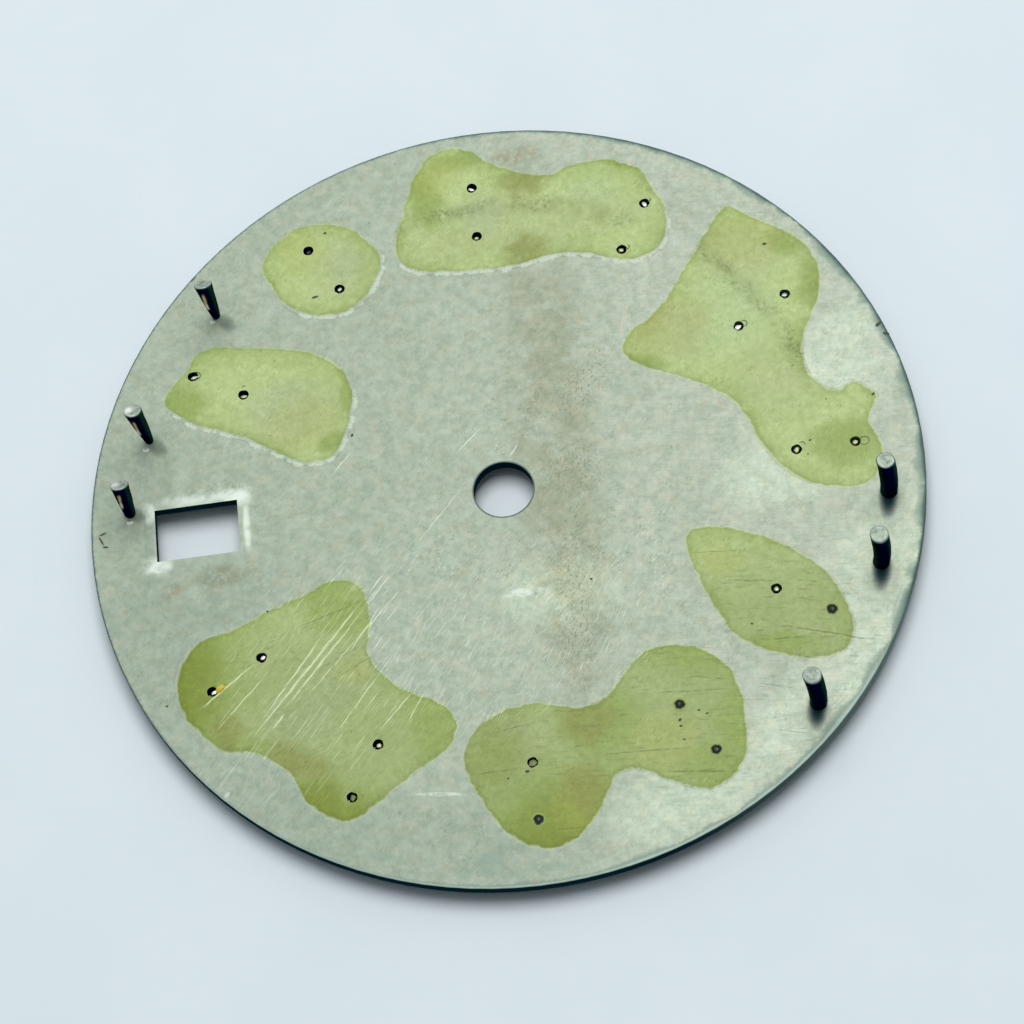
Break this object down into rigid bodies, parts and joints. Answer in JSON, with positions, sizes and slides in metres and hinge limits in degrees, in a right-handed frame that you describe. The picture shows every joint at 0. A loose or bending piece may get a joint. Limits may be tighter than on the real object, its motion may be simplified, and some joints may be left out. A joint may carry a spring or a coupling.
{
  "type": "watch dial",
  "caption": "Round metal watch dial lying face down, with a date window at three o'clock, copper feet on the back and applied baton hour markers fixed by lacquer.",
  "frame": {"origin": "centre of the centre hole, on the back face of the plate", "axes": "+Z out of the back, towards the movement; +Y towards 12 o'clock; 3 o'clock and the date window at -X"},
  "size_m": [0.0285, 0.0284, 0.0033],
  "materials": {
    "plated_brass": "silver plated brass, satin, aged",
    "face_lacquer": "dark baked lacquer, gloss",
    "printing_ink": "pad-printed white ink",
    "marker_metal": "rhodium plated brass, polished facets",
    "foot_copper": "tarnished copper wire, cut ends bright",
    "fixing_lacquer": "thin dried yellow-green lacquer"
  },
  "bodies": {
    "root": {"dial_plate": "plated_brass", "face_coat": "face_lacquer", "minute_track": "printing_ink", "hour_marker_01": "marker_metal", "hour_marker_02": "marker_metal", "hour_marker_04": "marker_metal", "hour_marker_05": "marker_metal", "hour_marker_06": "marker_metal", "hour_marker_07": "marker_metal", "hour_marker_08": "marker_metal", "hour_marker_09": "marker_metal", "hour_marker_10": "marker_metal", "hour_marker_11": "marker_metal", "hour_marker_12": "marker_metal", "dial_foot_08": "foot_copper", "dial_foot_12": "foot_copper", "dial_foot_14": "foot_copper", "dial_foot_38": "foot_copper", "dial_foot_42": "foot_copper", "dial_foot_43": "foot_copper", "lacquer_11_12": "fixing_lacquer", "lacquer_01": "fixing_lacquer", "lacquer_02": "fixing_lacquer", "lacquer_04_05": "fixing_lacquer", "lacquer_06_07": "fixing_lacquer", "lacquer_08": "fixing_lacquer", "lacquer_09_10": "fixing_lacquer"}
  },
  "joints": []
}
